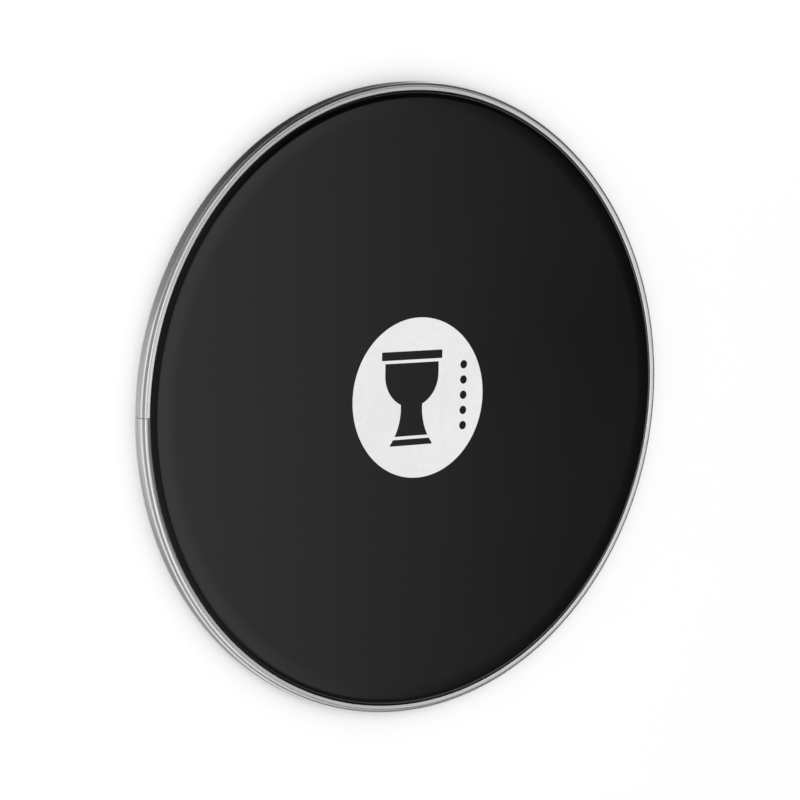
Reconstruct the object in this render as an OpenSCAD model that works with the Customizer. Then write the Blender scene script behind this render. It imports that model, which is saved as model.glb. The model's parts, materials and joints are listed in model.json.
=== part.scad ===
// Hand-drum head: a thin black film with a low collar, held by its hem in a
// slim rolled aluminium hoop, with a white print in the middle.
// It lies flat with the playing side up. The Z axis is the head's own axis,
// Z = 0 is the face that the hoop rests on, and +Y is the top of the print.

/* [Hoop] */
// Outside diameter of the hoop
hoop_d = 221.4; // [150:0.2:360]
// Height of the hoop, foot to lip
hoop_h = 5.2; // [4.2:0.1:8]
// Thickness of the hoop's rolled sheet
wall = 0.7; // [0.5:0.05:1]
// Outside radius of the rolled shoulder
shoulder_r = 1.4; // [1.2:0.1:2.4]
// Outside radius of the two bottom corners
foot_r = 0.7; // [0.2:0.1:1.4]
// Direction of the hoop's butt joint, in degrees from +X
joint_angle = 180; // [0:1:360]
// Open gap left between the hoop's two ends
joint_gap = 0.2; // [0.05:0.01:0.5]

/* [Joint splice] */
// Length of the splice strip along the hoop
splice_len = 26; // [12:1:60]
// Thickness of the splice strip
splice_t = 0.5; // [0.4:0.05:1]
// Height of the splice strip
splice_h = 2.2; // [1.2:0.1:2.2]

/* [Film] */
// Thickness of the film
film_t = 0.3; // [0.2:0.05:0.4]
// Height of the playing surface above the hoop's lip
collar_rise = 1.6; // [1:0.1:3]
// Outside radius of the collar, where the film turns flat
collar_r = 3.2; // [2.4:0.1:4]
// Height of the hem's outer leg above the middle of the locking ring
hem_h = 1.3; // [0.8:0.1:1.6]

/* [Locking ring and seal] */
// Wire diameter of the locking ring
ring_wire_d = 1.1; // [0.8:0.1:1.6]
// Gap between the hem and the splice, filled with resin
seal_gap = 0.2; // [0.1:0.05:0.6]
// Depth of resin over the end of the hem
seal_cover = 0.3; // [0.1:0.05:0.5]

/* [Print] */
// Diameter of the printed disc
print_d = 56.2; // [48:0.2:90]
// How far the print sits off the head's centre, towards its top
print_y = 1.2; // [-5:0.1:5]
// Thickness of the printed layer
print_t = 0.1; // [0.05:0.05:0.3]
// Width of the drum figure's head
figure_w = 26; // [20:1:30]
// Height of the drum figure, head to foot
figure_h = 33; // [28:1:36]
// Sideways place of the drum figure on the disc
figure_x = -3; // [-5:0.5:5]
// Diameter of each dot in the row beside the figure
dot_d = 3; // [1:0.1:4]
// Number of dots in the row
dot_count = 5; // [1:1:7]
// Distance from dot to dot
dot_pitch = 5.4; // [4.5:0.1:6]
// Sideways place of the row of dots on the disc
dot_x = 19.5; // [16:0.5:20]

/* [Hidden] */
$fn = 96;
turn_fn = 240;
min_corner_r = 0.05;

hoop_r = hoop_d / 2;
shoulder_c = hoop_r - shoulder_r;
shoulder_z = hoop_h - shoulder_r;
room_corner_r = max(foot_r - wall, min_corner_r);
ring_wire_r = ring_wire_d / 2;

// The channel is as wide as what it holds, worked from the outside in:
// wall, splice, resin, hem, locking ring, film.
film_r = hoop_r - wall - splice_t - seal_gap - film_t - ring_wire_d;
inner_wall_r = film_r - film_t - wall;
ring_r = film_r + ring_wire_r;
ring_z = wall + film_t + ring_wire_r;

// The collar starts upright at the top of the inner wall and ends flat.
film_top = hoop_h + collar_rise;
collar_z = film_top - collar_r;
collar_c = film_r - collar_r;

// The lip's round edge lies against the collar.
lip_r = wall / 2;
lip_z = hoop_h - lip_r;
lip_c = collar_c + sqrt(pow(collar_r + lip_r, 2) - pow(lip_z - collar_z, 2));

// Top of the resin, and top of the thin gaps beside the ring that it doesn't reach
seal_top = min(ring_z + hem_h + seal_cover, hoop_h - wall);
open_gap_top = ring_z + ring_wire_r / 2;

joint_gap_deg = joint_gap / hoop_r * 180 / PI;
splice_deg = splice_len / (hoop_r - wall) * 180 / PI;

// The drum figure's own proportions
head_h = 3;
line_gap = 1.1;
bowl_inset = 1.5;
bowl_r = figure_w / 2 - bowl_inset;
bowl_wall_h = 4;
foot_half = 9;
foot_h = 2.2;
waist_half = 4.6;
waist_cut_r = 20;
waist_up = 13;

// Upper right quarter of a disc, with a lap on its two straight sides
module quarter_disc(r, lap) {
  intersection() {
    circle(r);
    translate([-lap, -lap]) square(r + lap);
  }
}

// Block from one radius and height to another, with its two bottom corners rounded
module round_footed(from, to, corner_r) {
  width = to[0] - from[0];
  height = to[1] - from[1];
  translate([from[0], from[1] + corner_r]) square([width, height - corner_r]);
  translate([from[0] + corner_r, from[1]]) square([width - 2 * corner_r, height]);
  for (r = [from[0] + corner_r, to[0] - corner_r]) translate([r, from[1] + corner_r]) circle(corner_r);
}

// Room inside the channel
module room_section() {
  round_footed([inner_wall_r + wall, wall], [hoop_r - wall, shoulder_z], room_corner_r);
  translate([inner_wall_r + wall, shoulder_z - wall])
    square([shoulder_c - inner_wall_r - wall, hoop_h - shoulder_z]);
  translate([shoulder_c, shoulder_z]) quarter_disc(shoulder_r - wall, lip_r);
}

// Outline of the channel with its short inner wall, shoulder and lip, not yet hollow
module hoop_outline() {
  round_footed([inner_wall_r, 0], [hoop_r, collar_z], foot_r);
  translate([shoulder_c - lip_r, foot_r]) square([shoulder_r + lip_r, shoulder_z - foot_r]);
  translate([lip_c, foot_r]) square([shoulder_c - lip_c, hoop_h - foot_r]);
  translate([shoulder_c, shoulder_z]) quarter_disc(shoulder_r, lip_r);
  translate([lip_c, lip_z]) circle(lip_r);
}

module hoop_section() {
  difference() {
    hoop_outline();
    room_section();
  }
}

// Section of the film: hem folded under the locking ring, upright leg, collar, flat disc
module film_section() {
  translate([ring_r + ring_wire_r, ring_z]) square([film_t, hem_h]);
  translate([ring_r, ring_z]) difference() {
    circle(ring_wire_r + film_t);
    circle(ring_wire_r);
    translate([-ring_wire_d, 0]) square(2 * ring_wire_d);
  }
  translate([film_r - film_t, ring_z]) square([film_t, collar_z - ring_z]);
  translate([collar_c, collar_z]) difference() {
    quarter_disc(collar_r, 0);
    circle(collar_r - film_t);
  }
  translate([0, film_top - film_t]) square([collar_c, film_t]);
}

// Section of the resin that fills the channel round the hem and the locking ring
module seal_section() {
  difference() {
    intersection() {
      room_section();
      translate([film_r, 0]) square([shoulder_c, seal_top]);
    }
    film_section();
    translate([film_r, 0]) square([ring_wire_d, open_gap_top]);
    translate([ring_r, ring_z]) circle(ring_wire_r);
  }
}

// Section that the splice takes up, reaching a lap past the channel's outer wall and floor
module splice_place(lap) {
  translate([hoop_r - wall - splice_t, wall - lap]) square([splice_t + lap, splice_h + lap]);
}

module splice_section() {
  intersection() {
    room_section();
    splice_place(0);
  }
}

// Drum seen from the side: head, bowl, waist and foot, with its middle at the origin
module drum_figure() {
  top = figure_h / 2;
  bowl_top = top - head_h - line_gap;
  bowl_y = bowl_top - bowl_wall_h;
  foot_y = -figure_h / 2;
  translate([-figure_w / 2, top - head_h]) square([figure_w, head_h]);
  translate([-bowl_r, bowl_y]) square([2 * bowl_r, bowl_wall_h]);
  difference() {
    translate([0, bowl_y]) circle(bowl_r);
    translate([-bowl_r, bowl_y]) square(2 * bowl_r);
  }
  difference() {
    translate([-foot_half, foot_y]) square([2 * foot_half, bowl_y - foot_y]);
    for (side = [-1, 1])
      translate([side * (waist_half + waist_cut_r), foot_y + waist_up]) circle(waist_cut_r);
    translate([-foot_half, foot_y + foot_h]) square([2 * foot_half, line_gap]);
  }
}

module dot_row() {
  for (i = [0 : dot_count - 1])
    translate([dot_x, (i - (dot_count - 1) / 2) * dot_pitch]) circle(d = dot_d);
}

// Turns a section through the arc that the splice covers, across the joint
module along_splice() {
  rotate([0, 0, joint_angle - splice_deg / 2])
    rotate_extrude(angle = splice_deg, $fn = turn_fn) children();
}

module flesh_hoop() {
  color("#c9cacb")
    rotate([0, 0, joint_angle + joint_gap_deg / 2])
      rotate_extrude(angle = 360 - joint_gap_deg, $fn = turn_fn) hoop_section();
}

module hoop_splice() {
  color("#a9abad") along_splice() splice_section();
}

module locking_ring() {
  color("#8b8d90")
    rotate_extrude($fn = turn_fn) translate([ring_r, ring_z]) circle(ring_wire_r);
}

module drum_film() {
  color("#1c1c1d") rotate_extrude($fn = turn_fn) film_section();
}

module seal_bead() {
  color("#d8cfb0") difference() {
    rotate_extrude($fn = turn_fn) seal_section();
    along_splice() splice_place(wall / 2);
  }
}

module print_disc() {
  color("#f2f2f1") translate([0, print_y, film_top]) linear_extrude(print_t) difference() {
    circle(d = print_d, $fn = turn_fn);
    translate([figure_x, 0]) drum_figure();
    dot_row();
  }
}

flesh_hoop();
hoop_splice();
locking_ring();
drum_film();
seal_bead();
print_disc();
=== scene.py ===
"""Looks of the hand-drum head: film, rolled hoop and print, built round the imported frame.

Everything is in metres in the frame's own axes: Z is the head's axis, the playing side is up,
+Y is the top of the print and the hoop's butt joint lies on -X.
"""
import json
import math

import bmesh
import bpy
from mathutils import Matrix, Vector


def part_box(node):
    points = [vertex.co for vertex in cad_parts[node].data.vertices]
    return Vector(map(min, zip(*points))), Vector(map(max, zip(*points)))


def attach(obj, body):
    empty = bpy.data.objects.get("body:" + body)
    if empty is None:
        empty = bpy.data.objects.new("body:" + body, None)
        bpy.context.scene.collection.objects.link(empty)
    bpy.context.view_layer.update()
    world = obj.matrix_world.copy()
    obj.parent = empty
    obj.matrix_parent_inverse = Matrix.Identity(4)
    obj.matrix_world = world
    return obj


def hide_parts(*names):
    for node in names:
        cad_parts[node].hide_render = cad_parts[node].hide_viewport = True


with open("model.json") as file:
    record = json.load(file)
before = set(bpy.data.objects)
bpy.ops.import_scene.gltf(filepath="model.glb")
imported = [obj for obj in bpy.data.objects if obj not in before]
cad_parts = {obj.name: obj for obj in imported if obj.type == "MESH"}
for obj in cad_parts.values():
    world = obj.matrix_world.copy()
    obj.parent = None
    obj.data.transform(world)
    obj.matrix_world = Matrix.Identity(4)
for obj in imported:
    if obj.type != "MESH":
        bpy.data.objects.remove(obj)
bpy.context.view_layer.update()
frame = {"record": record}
MM = 0.001

# ---------------------------------------------------------------- sizes
# Overall places come from the frame's mounts and boxes.
MOUNTS = {m["name"]: m for m in frame["record"]["mounts"]}
HOOP_R = MOUNTS["hoop_outside"]["dims"]["r_mm"] * MM
BORE_R = MOUNTS["shell_bore"]["dims"]["r_mm"] * MM
HOOP_TOP = MOUNTS["rim_seat"]["pos_m"][2]
FILM_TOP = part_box("drum_film")[1].z
RING_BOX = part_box("locking_ring")
SPLICE_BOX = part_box("hoop_splice")
SEAL_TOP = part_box("seal_bead")[1].z

# The section's own sizes
WALL = 0.7 * MM
FOOT_R = 0.7 * MM
SHOULDER_R = 1.4 * MM
LIP_R = WALL / 2
ROOM_CORNER_R = 0.05 * MM
EDGE_R = 0.12 * MM
FILM_T = 0.3 * MM
COLLAR_R = 3.2 * MM
HEM_H = 1.3 * MM
JOINT_GAP = 0.2 * MM
SPLICE_T = 0.5 * MM
SPLICE_H = 2.2 * MM

FILM_R = BORE_R + WALL + FILM_T
WIRE_R = (RING_BOX[1].z - RING_BOX[0].z) / 2
WIRE_Z = (RING_BOX[1].z + RING_BOX[0].z) / 2
RING_R = FILM_R + WIRE_R
COLLAR_C = FILM_R - COLLAR_R
COLLAR_Z = FILM_TOP - COLLAR_R
SHOULDER_C = HOOP_R - SHOULDER_R
SHOULDER_Z = HOOP_TOP - SHOULDER_R
LIP_Z = HOOP_TOP - LIP_R
LIP_C = COLLAR_C + math.sqrt((COLLAR_R + LIP_R) ** 2 - (LIP_Z - COLLAR_Z) ** 2)

TURN = 2 * math.pi
JOINT = math.pi
SEGMENTS = 540


# ---------------------------------------------------------------- mesh helpers
def arc(cx, cz, r, start, stop, steps):
    """Points of an arc in a section, from start to stop in degrees."""
    angles = [math.radians(start + (stop - start) * i / steps) for i in range(steps + 1)]
    return [(cx + r * math.cos(a), cz + r * math.sin(a)) for a in angles]


def cleaned(section):
    """The section without points that repeat the one before."""
    kept = []
    for p in section:
        if not kept or math.dist(p, kept[-1]) > 1e-7:
            kept.append(p)
    return kept


def finished(name, mesh, material, node, sharp=40):
    """Turns a mesh into a piece that stands for its CAD node."""
    mesh.materials.append(material)
    mesh.polygons.foreach_set("use_smooth", [True] * len(mesh.polygons))
    mesh.set_sharp_from_angle(angle=math.radians(sharp))
    piece = bpy.data.objects.new(name, mesh)
    bpy.context.scene.collection.objects.link(piece)
    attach(piece, "root")
    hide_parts(node)
    return piece


def closed_lathe(name, section, segments=SEGMENTS, start=0.0, sweep=TURN, shape=None):
    """A closed loop section turned about Z. shape(r, z, angle) may move a point of it."""
    section = cleaned(section)
    count = len(section)
    whole = abs(sweep - TURN) < 1e-9
    stations = segments if whole else segments + 1
    verts = []
    for i in range(stations):
        angle = start + sweep * i / segments
        for r, z in section:
            if shape:
                r, z = shape(r, z, angle)
            verts.append((r * math.cos(angle), r * math.sin(angle), z))
    faces = []
    for i in range(segments):
        a = i * count
        b = (i + 1) % stations * count
        for j in range(count):
            k = (j + 1) % count
            faces.append((a + j, b + j, b + k, a + k))
    if not whole:
        faces.append(tuple(range(count)))
        faces.append(tuple(reversed(range((stations - 1) * count, stations * count))))
    mesh = bpy.data.meshes.new(name)
    mesh.from_pydata(verts, [], faces)
    outward(mesh)
    return mesh


def disc_lathe(name, section, segments=SEGMENTS):
    """A section that starts and ends on the Z axis, turned into a closed solid."""
    section = cleaned(section)
    inner = section[1:-1]
    count = len(inner)
    verts = []
    for i in range(segments):
        angle = TURN * i / segments
        verts += [(r * math.cos(angle), r * math.sin(angle), z) for r, z in inner]
    top = len(verts)
    verts += [(0, 0, section[0][1]), (0, 0, section[-1][1])]
    faces = []
    for i in range(segments):
        a = i * count
        b = (i + 1) % segments * count
        faces.append((top, a, b))
        faces += [(a + j, a + j + 1, b + j + 1, b + j) for j in range(count - 1)]
        faces.append((top + 1, b + count - 1, a + count - 1))
    mesh = bpy.data.meshes.new(name)
    mesh.from_pydata(verts, [], faces)
    outward(mesh)
    return mesh


def outward(mesh):
    """Makes every face look out of the solid."""
    bm = bmesh.new()
    bm.from_mesh(mesh)
    bmesh.ops.recalc_face_normals(bm, faces=bm.faces)
    bm.to_mesh(mesh)
    bm.free()


# ---------------------------------------------------------------- material helpers
class Nodes:
    """Short ways to add nodes to a shader tree."""

    def __init__(self, tree):
        self.nodes = tree.nodes
        self.links = tree.links

    def node(self, kind, **values):
        made = self.nodes.new(kind)
        for key, value in values.items():
            setattr(made, key, value)
        return made

    def link(self, source, target):
        self.links.new(source, target)

    def math(self, operation, first, second=0.0):
        made = self.node("ShaderNodeMath", operation=operation)
        for socket, value in zip(made.inputs, (first, second)):
            if isinstance(value, (int, float)):
                socket.default_value = value
            else:
                self.link(value, socket)
        return made.outputs[0]

    def place(self, kind="Object"):
        """A surface's place in metres, or a sky's direction, as (x, y, z) sockets and the vector."""
        coordinates = self.node("ShaderNodeTexCoord").outputs[kind]
        split = self.node("ShaderNodeSeparateXYZ")
        self.link(coordinates, split.inputs[0])
        return split.outputs, coordinates

    def radius(self):
        """Distance from the head's axis."""
        (x, y, _), _ = self.place()
        return self.math("SQRT", self.math("ADD", self.math("MULTIPLY", x, x), self.math("MULTIPLY", y, y)))

    def angle(self, start):
        """Angle about the head's axis, from start, 0 to a whole turn."""
        (x, y, _), _ = self.place()
        return self.math("MODULO", self.math("ADD", self.math("ARCTAN2", y, x), 2 * TURN - start), TURN)

    def noise(self, vector, scale, detail=4.0, roughness=0.5):
        made = self.node("ShaderNodeTexNoise")
        made.inputs["Scale"].default_value = scale
        made.inputs["Detail"].default_value = detail
        made.inputs["Roughness"].default_value = roughness
        self.link(vector, made.inputs["Vector"])
        return made.outputs["Fac"]

    def ramp(self, value, stops):
        """Maps value through (position, grey or colour) stops."""
        made = self.node("ShaderNodeValToRGB")
        elements = made.color_ramp.elements
        while len(elements) < len(stops):
            elements.new(0.5)
        for element, (position, tone) in zip(elements, stops):
            element.position = position
            element.color = (tone, tone, tone, 1) if isinstance(tone, float) else (*tone, 1)
        self.link(value, made.inputs[0])
        return made.outputs[0]

    def span(self, value, low, high, to_low, to_high, soft=False):
        """Maps low..high to to_low..to_high, in a straight line or with soft ends."""
        made = self.node("ShaderNodeMapRange", interpolation_type="SMOOTHSTEP" if soft else "LINEAR")
        for name, number in (("From Min", low), ("From Max", high), ("To Min", to_low), ("To Max", to_high)):
            made.inputs[name].default_value = number
        self.link(value, made.inputs["Value"])
        return made.outputs[0]


class Material(Nodes):
    """A node material with a Principled shader."""

    def __init__(self, name):
        self.material = bpy.data.materials.new(name)
        self.material.use_nodes = True
        super().__init__(self.material.node_tree)
        self.shader = self.nodes["Principled BSDF"]

    def around(self, along, across):
        """A vector that is stretched along the turn and breaks at the joint.

        It holds the angle from the joint times along, and the radius and height times across."""
        z = self.place()[0][2]
        join = self.node("ShaderNodeCombineXYZ")
        self.link(self.math("MULTIPLY", self.radius(), across), join.inputs[0])
        self.link(self.math("MULTIPLY", self.angle(JOINT), along), join.inputs[1])
        self.link(self.math("MULTIPLY", z, across), join.inputs[2])
        return join.outputs[0]

    def bump(self, height, distance, strength=1.0, below=None):
        made = self.node("ShaderNodeBump")
        made.inputs["Strength"].default_value = strength
        made.inputs["Distance"].default_value = distance
        self.link(height, made.inputs["Height"])
        if below:
            self.link(below, made.inputs["Normal"])
        return made.outputs[0]

    def set(self, **values):
        """Sets or links the shader's sockets: Base_Color=..., Roughness=..."""
        for key, value in values.items():
            socket = self.shader.inputs[key.replace("_", " ")]
            if hasattr(value, "links"):
                self.link(value, socket)
            else:
                socket.default_value = value
        return self.material


def rolled_aluminium():
    """Rolled sheet: fine lines and softer streaks that run along the hoop, with duller patches."""
    m = Material("rolled_aluminium")
    fine = m.noise(m.around(3.0, 7000.0), 1.0, detail=1.0)
    streaks = m.noise(m.around(1.6, 2000.0), 1.0, detail=2.0)
    patches = m.noise(m.place()[1], 90.0, detail=3.0)
    blend = m.math("ADD", m.math("MULTIPLY", fine, 0.4), m.math("MULTIPLY", streaks, 0.6))
    tones = [(0.3, (0.70, 0.705, 0.71)), (0.5, (0.87, 0.872, 0.875)), (0.7, (0.95, 0.95, 0.95))]
    colour = m.ramp(blend, tones)
    rough = m.math("ADD", m.span(streaks, 0.3, 0.7, 0.24, 0.34), m.span(patches, 0.35, 0.7, 0.0, 0.06))
    normal = m.bump(fine, 0.00001, 0.25, below=m.bump(streaks, 0.00003, 0.35))
    return m.set(Base_Color=colour, Metallic=1.0, Roughness=rough, Normal=normal)


def mill_aluminium():
    """Splice strip: duller sheet with coarser rolling lines."""
    m = Material("mill_aluminium")
    lines = m.noise(m.around(8.0, 5000.0), 1.0, detail=4.0)
    colour = m.ramp(lines, [(0.3, 0.50), (0.7, 0.70)])
    return m.set(Base_Color=colour, Metallic=1.0, Roughness=m.span(lines, 0.3, 0.7, 0.32, 0.45),
                 Normal=m.bump(lines, 0.00004, 0.5))


def drawn_steel():
    """Locking ring: drawn steel wire."""
    m = Material("drawn_steel")
    lines = m.noise(m.around(3.0, 14000.0), 1.0, detail=3.0)
    colour = m.ramp(lines, [(0.3, 0.38), (0.7, 0.55)])
    return m.set(Base_Color=colour, Metallic=1.0, Roughness=m.span(lines, 0.3, 0.7, 0.22, 0.36),
                 Normal=m.bump(lines, 0.00002, 0.4))


def black_film():
    """Satin black polyester film: soft sheen over a very fine texture."""
    m = Material("black_film")
    place = m.place()[1]
    cloud = m.noise(place, 14.0, detail=3.0)
    grain = m.noise(place, 2600.0, detail=2.0)
    colour = m.ramp(cloud, [(0.35, (0.0009, 0.0009, 0.00095)), (0.65, (0.0014, 0.0014, 0.00145))])
    rough = m.math("ADD", m.span(cloud, 0.35, 0.65, 0.17, 0.20), m.span(grain, 0.3, 0.7, 0.0, 0.03))
    return m.set(Base_Color=colour, Roughness=rough, IOR=1.43, Normal=m.bump(grain, 0.000004, 0.25))


def resin():
    """Cast resin: slightly cloudy amber."""
    m = Material("cast_resin")
    cloud = m.noise(m.place()[1], 300.0, detail=4.0)
    colour = m.ramp(cloud, [(0.3, (0.42, 0.33, 0.16)), (0.7, (0.62, 0.53, 0.32))])
    return m.set(Base_Color=colour, Roughness=m.span(cloud, 0.3, 0.7, 0.18, 0.3), IOR=1.52,
                 Normal=m.bump(cloud, 0.00005, 0.4))


def white_ink():
    """Screen-printed white ink: even, with a faint mottle and a soft gloss."""
    m = Material("white_ink")
    place = m.place()[1]
    mottle = m.noise(place, 420.0, detail=5.0)
    cloud = m.noise(place, 60.0, detail=2.0)
    blend = m.math("ADD", m.math("MULTIPLY", mottle, 0.5), m.math("MULTIPLY", cloud, 0.5))
    colour = m.ramp(blend, [(0.35, (0.725, 0.725, 0.723)), (0.65, (0.785, 0.785, 0.783))])
    return m.set(Base_Color=colour, Roughness=m.span(mottle, 0.3, 0.7, 0.34, 0.44), IOR=1.48,
                 Normal=m.bump(mottle, 0.000004, 0.3))


# ---------------------------------------------------------------- pieces
def hoop_shape(r, z, angle):
    """The rolled hoop isn't perfect: it twists a little towards its joint, and waves slightly."""
    away = (angle - JOINT) % TURN
    end_a = math.exp(-((away / math.radians(26)) ** 2))
    end_b = math.exp(-(((TURN - away) / math.radians(34)) ** 2))
    twist = math.radians(5.0) * end_a - math.radians(4.0) * end_b
    top = max(0.0, (z - WALL) / (HOOP_TOP - WALL))
    dr = r - SHOULDER_C
    dz = z - SHOULDER_Z
    r += -dz * twist * top
    z += dr * twist * top
    wave = 0.012 * MM * math.sin(5 * angle + 0.7) + 0.007 * MM * math.sin(13 * angle + 2.1)
    return r + wave * top, z


def flesh_hoop(material):
    groove_r = SHOULDER_C - 0.15 * MM
    room_corner = WALL + ROOM_CORNER_R
    section = arc(HOOP_R - FOOT_R, FOOT_R, FOOT_R, -90, 0, 6)
    section += [(HOOP_R, FOOT_R + (SHOULDER_Z - FOOT_R) * i / 4) for i in range(1, 4)]
    section += arc(SHOULDER_C, SHOULDER_Z, SHOULDER_R, 0, 90, 18)
    section += arc(groove_r, HOOP_TOP + 0.19 * MM, 0.23 * MM, -35, -145, 6)
    section += arc(LIP_C, LIP_Z, LIP_R, 90, 270, 14)
    section += arc(SHOULDER_C, SHOULDER_Z, SHOULDER_R - WALL, 90, 0, 10)
    section += arc(HOOP_R - room_corner, room_corner, ROOM_CORNER_R, 0, -90, 4)
    section += arc(BORE_R + room_corner, room_corner, ROOM_CORNER_R, 270, 180, 4)
    section += arc(BORE_R + WALL - EDGE_R, COLLAR_Z - EDGE_R, EDGE_R, 0, 90, 4)
    section += arc(BORE_R + EDGE_R, COLLAR_Z - EDGE_R, EDGE_R, 90, 180, 4)
    section += arc(BORE_R + FOOT_R, FOOT_R, FOOT_R, 180, 270, 6)
    gap = JOINT_GAP / HOOP_R
    mesh = closed_lathe("flesh_hoop_mesh", section, start=JOINT + gap / 2, sweep=TURN - gap, shape=hoop_shape)
    return finished("rolled_hoop", mesh, material, "flesh_hoop")


def drum_film(material):
    """Flat playing surface that starts to fall a few millimetres before the collar, then hem and fold."""
    fall = 0.2 * MM
    fall_w = 5 * MM
    lean = math.degrees(2 * fall / fall_w)

    def surface(r):
        return FILM_TOP - fall * max(0.0, (r - (COLLAR_C - fall_w)) / fall_w) ** 2

    radii = [(COLLAR_C - fall_w) * i / 16 for i in range(16)]
    radii += [COLLAR_C - fall_w + fall_w * i / 10 for i in range(10)]
    top = [(r, surface(r)) for r in radii]
    collar_z = COLLAR_Z - fall
    section = top + arc(COLLAR_C, collar_z, COLLAR_R, 90 - lean, 0, 24)
    section += arc(RING_R, WIRE_Z, WIRE_R, 180, 360, 10)
    hem_in = RING_R + WIRE_R
    section += [(hem_in, WIRE_Z + HEM_H), (hem_in + FILM_T, WIRE_Z + HEM_H)]
    section += arc(RING_R, WIRE_Z, WIRE_R + FILM_T, 360, 180, 12)
    section += arc(COLLAR_C, collar_z, COLLAR_R - FILM_T, 0, 90 - lean, 16)
    section += [(r, z - FILM_T) for r, z in reversed(top)]
    mesh = disc_lathe("drum_film_mesh", section)
    return finished("film_with_collar", mesh, material, "drum_film")


def locking_ring(material):
    mesh = closed_lathe("locking_ring_mesh", arc(RING_R, WIRE_Z, WIRE_R, 0, 345, 23), segments=360)
    return finished("locking_wire", mesh, material, "locking_ring")


def seal_bead(material):
    """Resin between the hem and the hoop's outer wall, clear of the splice strip."""
    outer = HOOP_R - WALL - SPLICE_T
    hem_out = RING_R + WIRE_R + FILM_T
    section = [(hem_out, WALL + FILM_T), (outer, WALL + 0.02 * MM), (outer, SEAL_TOP)]
    section += [(FILM_R, SEAL_TOP - 0.05 * MM), (FILM_R, WIRE_Z + WIRE_R)]
    section += [(hem_out - FILM_T, WIRE_Z + WIRE_R)]
    section += [(hem_out - FILM_T, WIRE_Z + HEM_H), (hem_out, WIRE_Z + HEM_H)]
    mesh = closed_lathe("seal_bead_mesh", section, segments=360)
    return finished("resin_seal", mesh, material, "seal_bead")


def hoop_splice(material):
    outer = HOOP_R - WALL
    corner = 0.1 * MM
    section = arc(outer - corner, WALL + corner, corner, -90, 0, 3)
    section += arc(outer - corner, WALL + SPLICE_H - corner, corner, 0, 90, 3)
    section += arc(outer - SPLICE_T + corner, WALL + SPLICE_H - corner, corner, 90, 180, 3)
    section += arc(outer - SPLICE_T + corner, WALL + corner, corner, 180, 270, 3)
    half = math.asin(SPLICE_BOX[1].y / outer)
    mesh = closed_lathe("hoop_splice_mesh", section, segments=24, start=JOINT - half, sweep=2 * half)
    return finished("splice_strip", mesh, material, "hoop_splice")


# ---------------------------------------------------------------- print
FIGURE_W = 26 * MM
FIGURE_H = 33 * MM
FIGURE_X = -3 * MM
HEAD_H = 3 * MM
LINE_GAP = 1.1 * MM
BOWL_R = FIGURE_W / 2 - 1.5 * MM
BOWL_WALL_H = 4 * MM
FOOT_HALF = 9 * MM
FOOT_H = 2.2 * MM
WAIST_HALF = 4.6 * MM
WAIST_CUT_R = 20 * MM
WAIST_UP = 13 * MM
DOT_R = 1.5 * MM
DOT_COUNT = 5
DOT_PITCH = 5.4 * MM
DOT_X = 19.5 * MM
INK_T = 0.06 * MM


def circle_points(cx, cy, r, count):
    return [(cx + r * math.cos(TURN * i / count), cy + r * math.sin(TURN * i / count)) for i in range(count)]


def mirrored(half_width, low, high, steps):
    """Outline of a shape that is half_width(y) wide to each side of the figure's middle."""
    heights = [low + (high - low) * i / steps for i in range(steps + 1)]
    right = [(FIGURE_X + half_width(y), y) for y in heights]
    return right + [(2 * FIGURE_X - x, y) for x, y in reversed(right)]


def body_outlines():
    """Bowl with waist, and the foot ring below the thin line."""
    bowl_top = FIGURE_H / 2 - HEAD_H - LINE_GAP
    bowl_y = bowl_top - BOWL_WALL_H
    foot_y = -FIGURE_H / 2
    waist_y = foot_y + WAIST_UP

    def half_width(y):
        bowl = BOWL_R if y >= bowl_y else math.sqrt(max(0.0, BOWL_R ** 2 - (y - bowl_y) ** 2))
        cut = math.sqrt(max(0.0, WAIST_CUT_R ** 2 - (y - waist_y) ** 2))
        neck = min(FOOT_HALF, WAIST_HALF + WAIST_CUT_R - cut) if y < bowl_y else 0.0
        return max(bowl, neck)

    bowl = mirrored(half_width, foot_y + FOOT_H + LINE_GAP, bowl_top, 160)
    foot = mirrored(half_width, foot_y, foot_y + FOOT_H, 12)
    return [bowl, foot]


def head_outline():
    """The figure's head: a bar with slightly rounded corners."""
    corner = 0.35 * MM
    top = FIGURE_H / 2
    x = FIGURE_W / 2 - corner
    corners = [(x, top - corner, 0), (-x, top - corner, 90), (-x, top - HEAD_H + corner, 180),
               (x, top - HEAD_H + corner, 270)]
    points = []
    for cx, cy, start in corners:
        points += arc(FIGURE_X + cx, cy, corner, start, start + 90, 6)
    return points


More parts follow.
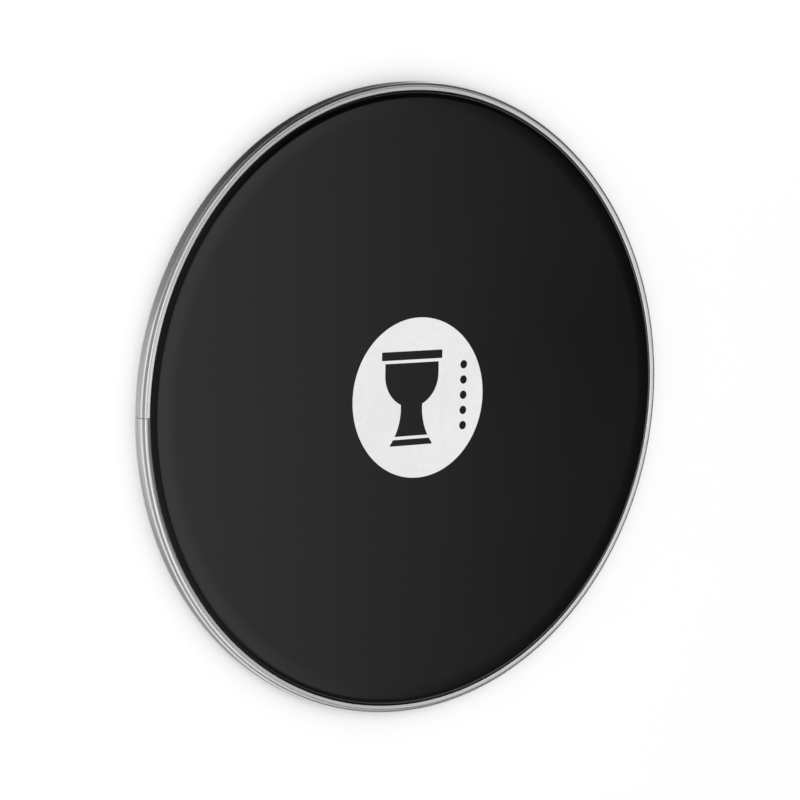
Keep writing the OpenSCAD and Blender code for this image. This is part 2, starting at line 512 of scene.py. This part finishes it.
def print_disc(material):
    low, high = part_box("print_disc")
    print_r = (high.x - low.x) / 2
    loops = [circle_points(0, 0, print_r, 256), head_outline(), *body_outlines()]
    for i in range(DOT_COUNT):
        loops.append(circle_points(DOT_X, (i - (DOT_COUNT - 1) / 2) * DOT_PITCH, DOT_R, 40))
    curve = bpy.data.curves.new("print_outline", "CURVE")
    curve.dimensions = "2D"
    curve.fill_mode = "BOTH"
    curve.extrude = INK_T / 2
    for loop in loops:
        spline = curve.splines.new("POLY")
        spline.points.add(len(loop) - 1)
        for point, (x, y) in zip(spline.points, loop):
            point.co = (x, y, 0, 1)
        spline.use_cyclic_u = True
    holder = bpy.data.objects.new("print_outline", curve)
    bpy.context.scene.collection.objects.link(holder)
    mesh = bpy.data.meshes.new_from_object(holder.evaluated_get(bpy.context.evaluated_depsgraph_get()))
    bpy.data.objects.remove(holder)
    bm = bmesh.new()
    bm.from_mesh(mesh)
    bmesh.ops.remove_doubles(bm, verts=bm.verts, dist=1e-7)
    bmesh.ops.recalc_face_normals(bm, faces=bm.faces)
    bm.to_mesh(mesh)
    bm.free()
    mesh.transform(Matrix.Translation(((low.x + high.x) / 2, (low.y + high.y) / 2, FILM_TOP + INK_T / 2)))
    return finished("printed_disc", mesh, material, "print_disc")


flesh_hoop(rolled_aluminium())
drum_film(black_film())
locking_ring(drawn_steel())
seal_bead(resin())
hoop_splice(mill_aluminium())
print_disc(white_ink())


# ---------------------------------------------------------------- studio
def floor():
    half = 6.0
    mesh = bpy.data.meshes.new("floor_mesh")
    corners = [(-half, -half, 0), (half, -half, 0), (half, half, 0), (-half, half, 0)]
    mesh.from_pydata(corners, [], [(0, 1, 2, 3)])
    m = Material("pale_floor")
    tone = m.noise(m.place()[1], 3.0)
    mesh.materials.append(m.set(Base_Color=m.ramp(tone, [(0.3, 0.935), (0.7, 0.95)]), Roughness=0.9))
    made = bpy.data.objects.new("studio_floor", mesh)
    bpy.context.scene.collection.objects.link(made)


def aimed(obj, place, target, roll=0.0):
    """Puts a light or camera at a place, facing the target with its Y near the world's, then rolls it."""
    back = (Vector(place) - Vector(target)).normalized()
    right = Vector((0, 1, 0)).cross(back).normalized()
    up = back.cross(right)
    turn = Matrix((right, up, back)).transposed() @ Matrix.Rotation(roll, 3, "Z")
    obj.matrix_world = Matrix.Translation(place) @ turn.to_4x4()
    return obj


def key_light():
    """A soft light from the left for the print and the floor. Reflections see the sky instead."""
    light = bpy.data.lights.new("key_softbox", "AREA")
    light.shape = "SQUARE"
    light.size = 1.2
    radiance = 1.2
    light.energy = radiance * math.pi * light.size ** 2
    made = bpy.data.objects.new("key_softbox", light)
    bpy.context.scene.collection.objects.link(made)
    made.visible_camera = False
    made.visible_glossy = False
    return aimed(made, (-0.7, 0.45, 1.2), (0, 0, 0))


def sky():
    """A plain pale world. Reflections see a dark room with one large soft box overhead.

    The box's place is given as the direction's slopes: x over z and y over z."""
    world = bpy.data.worlds.new("studio")
    bpy.context.scene.world = world
    world.use_nodes = True
    n = Nodes(world.node_tree)
    (x, y, z), _ = n.place("Generated")
    height = n.math("MAXIMUM", z, 0.05)
    across = n.math("DIVIDE", x, height)
    along = n.math("DIVIDE", y, height)
    box = n.span(across, -0.3, 0.0, 0.0, 1.0, soft=True)
    box_edges = (n.span(across, 0.5, 0.9, 1.0, 0.0, soft=True),
                 n.span(along, 0.15, 0.5, 1.0, 0.0, soft=True),
                 n.span(along, -1.6, -0.1, 0.0, 1.0, soft=True))
    for edge in box_edges:
        box = n.math("MULTIPLY", box, edge)
    room = n.math("ADD", n.span(y, -0.8, 0.2, 0.12, 0.0), n.span(x, -0.6, 0.1, 0.28, 0.0))
    box_radiance = 1.25
    room_radiance = 0.01
    mirrored_sky = n.math("ADD", n.math("MULTIPLY", box, box_radiance), n.math("ADD", room, room_radiance))
    mirrored_now = n.node("ShaderNodeLightPath").outputs["Is Glossy Ray"]
    plain = 0.92
    change = n.math("MULTIPLY", mirrored_now, n.math("SUBTRACT", mirrored_sky, plain))
    background = n.nodes["Background"]
    background.inputs[0].default_value = (1, 1, 1, 1)
    n.link(n.math("ADD", change, plain), background.inputs[1])
    world.cycles.sampling_method = "NONE"


def glowing_reflection_ring():
    """A glowing ring-shaped card round the hoop's foot, for the outer wall to mirror: it is no lamp, and its
    greys are painted reflections and painted shade in that wall. Only reflections see it.
    """
    inner = HOOP_R + 0.2 * MM
    outer = HOOP_R + 150 * MM
    lift = 0.05 * MM
    steps = 180
    verts = [(x, y, lift) for r in (inner, outer) for x, y in circle_points(0, 0, r, steps)]
    faces = [(i, steps + i, steps + (i + 1) % steps, (i + 1) % steps) for i in range(steps)]
    mesh = bpy.data.meshes.new("grey_card_mesh")
    mesh.from_pydata(verts, [], faces)
    material = bpy.data.materials.new("glowing_reflection_ring")
    material.use_nodes = True
    n = Nodes(material.node_tree)
    angle = n.angle(0.0)
    turn = n.math("DIVIDE", angle, TURN)
    # Painted reflection tones by angle round the hoop. The card glows in these greys and is darkest a little
    # past +Y, so the outer wall mirrors painted shade there.
    degrees = [(0, 0.30), (60, 0.25), (90, 0.12), (112, 0.03), (128, 0.03), (150, 0.20), (178, 0.50),
               (210, 0.25), (245, 0.42), (300, 0.55)]
    tone = n.ramp(turn, [(a / 360, grey) for a, grey in degrees])
    glow = n.node("ShaderNodeEmission")
    n.link(tone, glow.inputs["Color"])
    fade = n.node("ShaderNodeMixShader")
    # Where the painted shade is darkest, the glowing card reaches out to its full width. Elsewhere it fades
    # out within a few millimetres of the hoop.
    dark_side = n.math("MULTIPLY", n.span(angle, math.radians(85), math.radians(105), 0.0, 1.0, soft=True),
                       n.span(angle, math.radians(135), math.radians(165), 1.0, 0.0, soft=True))
    width = n.span(dark_side, 0.0, 1.0, 5 * MM, outer - HOOP_R)
    beyond = n.math("DIVIDE", n.math("SUBTRACT", n.radius(), HOOP_R), width)
    n.link(n.span(beyond, 0.4, 1.0, 0.0, 1.0, soft=True), fade.inputs[0])
    n.link(glow.outputs[0], fade.inputs[1])
    n.link(n.node("ShaderNodeBsdfTransparent").outputs[0], fade.inputs[2])
    n.link(fade.outputs[0], n.nodes["Material Output"].inputs["Surface"])
    mesh.materials.append(material)
    made = bpy.data.objects.new("glowing_reflection_ring", mesh)
    bpy.context.scene.collection.objects.link(made)
    made.visible_camera = False
    made.visible_diffuse = False
    made.visible_shadow = False


def camera():
    """The camera looks from 36 degrees left of the head's axis and 7 degrees towards the print's top."""
    data = bpy.data.cameras.new("camera")
    data.lens = 130.2
    data.sensor_width = 36
    made = bpy.data.objects.new("camera", data)
    bpy.context.scene.collection.objects.link(made)
    distance = 1.0059
    left, up = math.radians(36.11), math.radians(6.67)
    toward = Vector((-math.sin(left) * math.cos(up), math.sin(up), math.cos(left) * math.cos(up)))
    aim = Vector((-6.8 * MM, 0.59 * MM, HOOP_TOP))
    aimed(made, aim + toward * distance, aim, roll=math.radians(1.0))
    bpy.context.scene.camera = made


floor()
sky()
key_light()
glowing_reflection_ring()
camera()
bpy.context.scene.view_settings.view_transform = "Standard"
